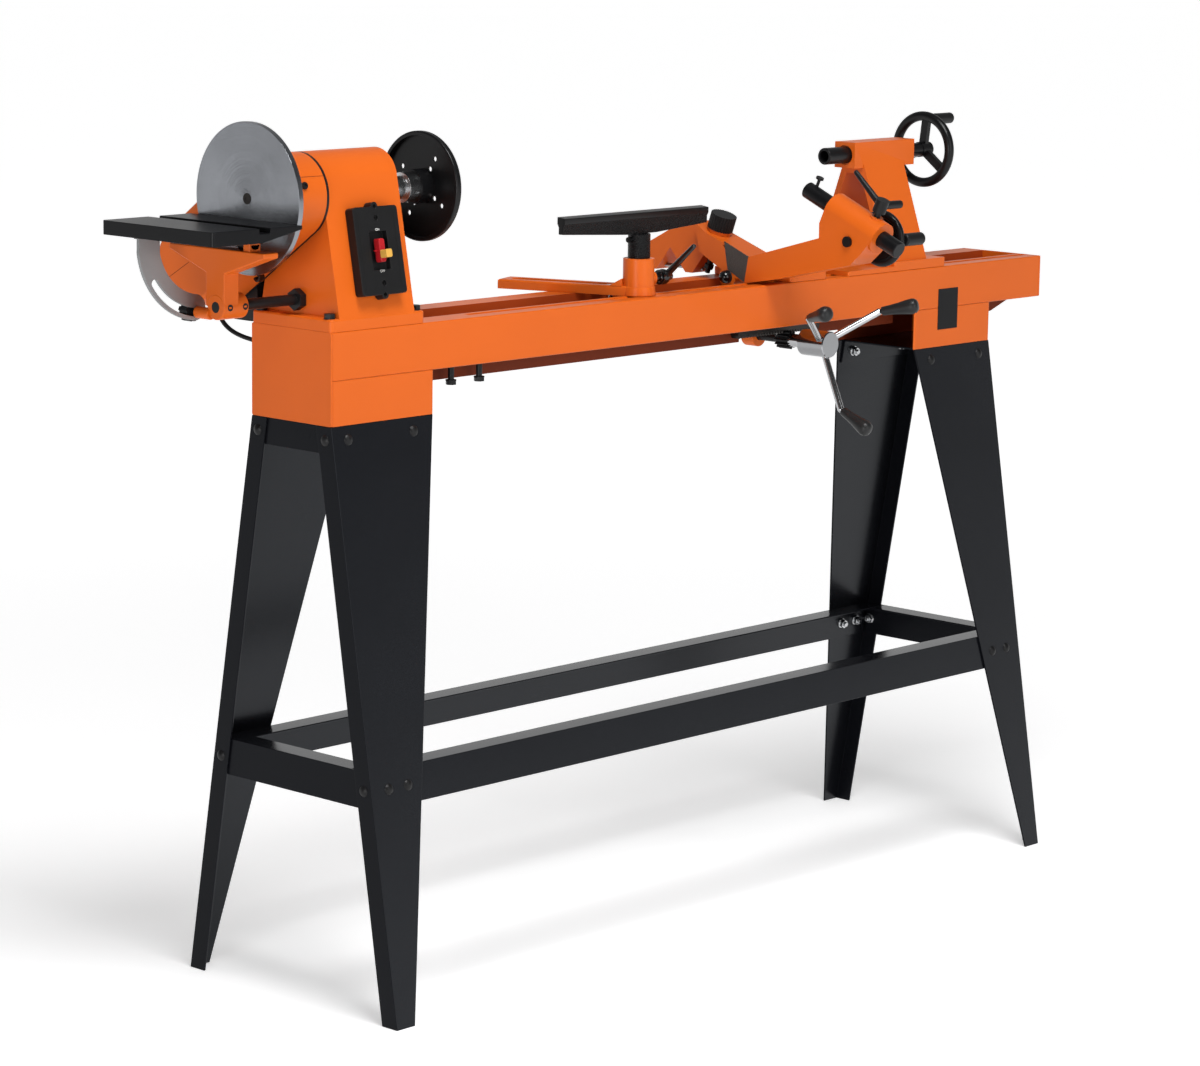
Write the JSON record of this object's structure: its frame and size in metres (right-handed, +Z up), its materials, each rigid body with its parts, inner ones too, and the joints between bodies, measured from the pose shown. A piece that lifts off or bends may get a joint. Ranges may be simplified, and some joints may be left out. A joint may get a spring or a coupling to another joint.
{
  "type": "duplicating lathe",
  "caption": "Copying wood lathe on a folded steel stand: headstock with faceplate and sanding disc, tool rest, geared copying carriage with capstan, and screw tailstock.",
  "frame": {"origin": "on the floor under the middle of the stand, midway between the legs and between the bed's two rails", "axes": "+X along the bed from the sanding disc to the tailstock, +Y to the rear, +Z up"},
  "size_m": [1.802, 0.5305, 1.2126],
  "materials": {
    "orange_paint": "satin enamel",
    "black_paint": "satin enamel",
    "zinc_steel": "plated",
    "steel": "machined",
    "cast_metal": "machined casting",
    "grey_steel": "stamped plate",
    "aluminium": "turned",
    "rubber": "matt",
    "black_plastic": "moulded",
    "red_plastic": "moulded",
    "yellow_plastic": "moulded",
    "chrome": "polished"
  },
  "bodies": {
    "frame": {"leg_front_left": "black_paint", "leg_rear_left": "black_paint", "leg_front_right": "black_paint", "leg_rear_right": "black_paint", "leg_tray_left": "black_paint", "leg_tray_right": "black_paint", "stretcher_front": "black_paint", "stretcher_rear": "black_paint", "stretcher_left": "black_paint", "stretcher_right": "black_paint", "stand_bolts": "black_paint", "support_box_left": "orange_paint", "support_box_right": "orange_paint", "end_cover": "orange_paint", "bed_rail_front": "orange_paint", "bed_rail_rear": "orange_paint", "bed_end_plate": "orange_paint", "feed_rack": "steel", "bed_bolts": "black_paint", "headstock": "orange_paint", "spindle_bearings": "steel", "motor": "black_paint", "motor_lead": "rubber", "belt_cover": "orange_paint", "drive_belt": "rubber", "switch_box": "black_plastic", "table_rod": "black_paint"},
    "spindle": {"spindle": "steel", "faceplate": "black_paint", "sanding_disc": "cast_metal", "spindle_pulley": "aluminium"},
    "motor_rotor": {"motor_pulley": "aluminium"},
    "switch": {"switch_paddle": "red_plastic", "switch_key": "yellow_plastic"},
    "yoke": {"table_yoke": "orange_paint"},
    "table": {"sanding_table": "black_paint", "tilt_quadrant": "grey_steel"},
    "table_lock": {"quadrant_knob": "black_plastic"},
    "rest_clamp": {"banjo_clamp": "zinc_steel"},
    "rest_shoe": {"banjo_shoe": "zinc_steel"},
    "banjo": {"banjo": "orange_paint"},
    "collar": {"rest_collar": "black_paint"},
    "rest": {"tool_rest": "black_paint"},
    "rest_lock": {"rest_lever": "black_plastic"},
    "carriage": {"carriage_saddle": "orange_paint", "pivot_pin": "steel"},
    "capstan": {"capstan": "chrome", "capstan_grips": "black_plastic"},
    "arm": {"copy_arm": "orange_paint", "tracer_pin": "steel"},
    "tool": {"tool_bar": "black_paint"},
    "tool_lock": {"head_lever": "black_plastic"},
    "feed_wheel": {"feed_wheel": "black_paint"},
    "feed_crank": {"feed_handle": "black_plastic"},
    "depth_stop": {"depth_knob": "black_plastic"},
    "tailstock": {"tailstock_body": "orange_paint", "tailstock_clamp": "zinc_steel"},
    "quill": {"quill": "black_paint"},
    "tail_wheel": {"tailstock_wheel": "black_paint"},
    "tail_crank": {"tailstock_handle": "black_plastic"}
  },
  "joints": [
    {"name": "spindle_spin", "type": "hinge", "parent": "frame", "child": "spindle", "pos_m": [0, 0, 1.111], "axis": [1, 0, 0], "continuous": true},
    {"name": "motor_spin", "type": "hinge", "parent": "frame", "child": "motor_rotor", "pos_m": [0, 0.142, 1.011], "axis": [1, 0, 0], "continuous": true},
    {"name": "switch_rock", "type": "hinge", "parent": "frame", "child": "switch", "pos_m": [-0.6265, -0.07435, 1.03749], "axis": [1, 0, 0], "range_deg": [-7, 7]},
    {"name": "table_reach", "type": "slide", "parent": "frame", "child": "yoke", "axis": [-1, 0, 0], "range_m": [0, 0.04]},
    {"name": "table_tilt", "type": "hinge", "parent": "yoke", "child": "table", "pos_m": [-0.838, 0, 1.059], "axis": [0, -1, 0], "range_deg": [0, 45]},
    {"name": "table_lock_turn", "type": "hinge", "parent": "yoke", "child": "table_lock", "pos_m": [-0.85006, 0, 0.96074], "axis": [0, 1, 0], "range_deg": [-90, 90]},
    {"name": "banjo_travel", "type": "slide", "parent": "frame", "child": "rest_clamp", "axis": [1, 0, 0], "range_m": [-0.17, 0.07]},
    {"name": "banjo_swivel", "type": "hinge", "parent": "rest_clamp", "child": "rest_shoe", "pos_m": [-0.09112, 0, 0.9342], "axis": [0, 0, 1], "range_deg": [-15, 15]},
    {"name": "banjo_reach", "type": "slide", "parent": "rest_shoe", "child": "banjo", "axis": [0.3584, -0.9336, 0], "range_m": [-0.003, 0.06]},
    {"name": "rest_height", "type": "slide", "parent": "banjo", "child": "collar", "axis": [0, 0, 1], "range_m": [0, 0.025]},
    {"name": "rest_swivel", "type": "hinge", "parent": "collar", "child": "rest", "pos_m": [-0.075, -0.042, 1.024], "axis": [0, 0, 1], "range_deg": [-30, 30]},
    {"name": "rest_lock_turn", "type": "hinge", "parent": "banjo", "child": "rest_lock", "pos_m": [-0.046, -0.042, 0.9572], "axis": [1, 0, 0], "range_deg": [-5, 35]},
    {"name": "carriage_travel", "type": "slide", "parent": "frame", "child": "carriage", "axis": [1, 0, 0], "range_m": [-0.085, 0.045]},
    {"name": "capstan_turn", "type": "hinge", "parent": "carriage", "child": "capstan", "pos_m": [0.252, 0, 0.843], "axis": [0, -1, 0], "range_deg": [-406.35, 215.36]},
    {"name": "arm_rock", "type": "hinge", "parent": "carriage", "child": "arm", "pos_m": [0.226, -0.004, 0.941], "axis": [-1, 0, 0], "range_deg": [0, 4]},
    {"name": "tool_feed", "type": "slide", "parent": "arm", "child": "tool", "axis": [0, 0.9171, 0.3987], "range_m": [-0.03, 0.04]},
    {"name": "feed_turn", "type": "hinge", "parent": "arm", "child": "feed_wheel", "pos_m": [0.188, -0.23685, 1.01198], "axis": [-1, 0, 0], "range_deg": [-143.74, 191.49]},
    {"name": "feed_crank_spin", "type": "hinge", "parent": "feed_wheel", "child": "feed_crank", "pos_m": [0.249, -0.27285, 1.01198], "axis": [1, 0, 0], "continuous": true},
    {"name": "tool_lock_turn", "type": "hinge", "parent": "arm", "child": "tool_lock", "pos_m": [0.188, -0.27066, 1.04962], "axis": [0, -0.3987, 0.9171], "range_deg": [-45, 45]},
    {"name": "depth_stop_turn", "type": "hinge", "parent": "arm", "child": "depth_stop", "pos_m": [0.19, 0.037, 1.00288], "axis": [0, -0.3322, 0.9432], "range_deg": [-180, 180]},
    {"name": "tailstock_travel", "type": "slide", "parent": "frame", "child": "tailstock", "axis": [1, 0, 0], "range_m": [-0.04, 0.2]},
    {"name": "quill_feed", "type": "slide", "parent": "tailstock", "child": "quill", "axis": [-1, 0, 0], "range_m": [-0.03, 0.03]},
    {"name": "tail_wheel_turn", "type": "hinge", "parent": "tailstock", "child": "tail_wheel", "pos_m": [0.635, 0, 1.111], "axis": [-1, 0, 0], "range_deg": [-2700.5, 2700.5]},
    {"name": "tail_crank_spin", "type": "hinge", "parent": "tail_wheel", "child": "tail_crank", "pos_m": [0.6595, 0, 1.158], "axis": [1, 0, 0], "continuous": true}
  ],
  "couplings": [
    {"joint": "motor_spin", "follows": "spindle_spin", "ratio": 1},
    {"joint": "capstan_turn", "follows": "carriage_travel", "rad_per_m": 83.333},
    {"joint": "feed_turn", "follows": "tool_feed", "rad_per_m": 83.333},
    {"joint": "tail_wheel_turn", "follows": "quill_feed", "rad_per_m": 1570.8}
  ]
}
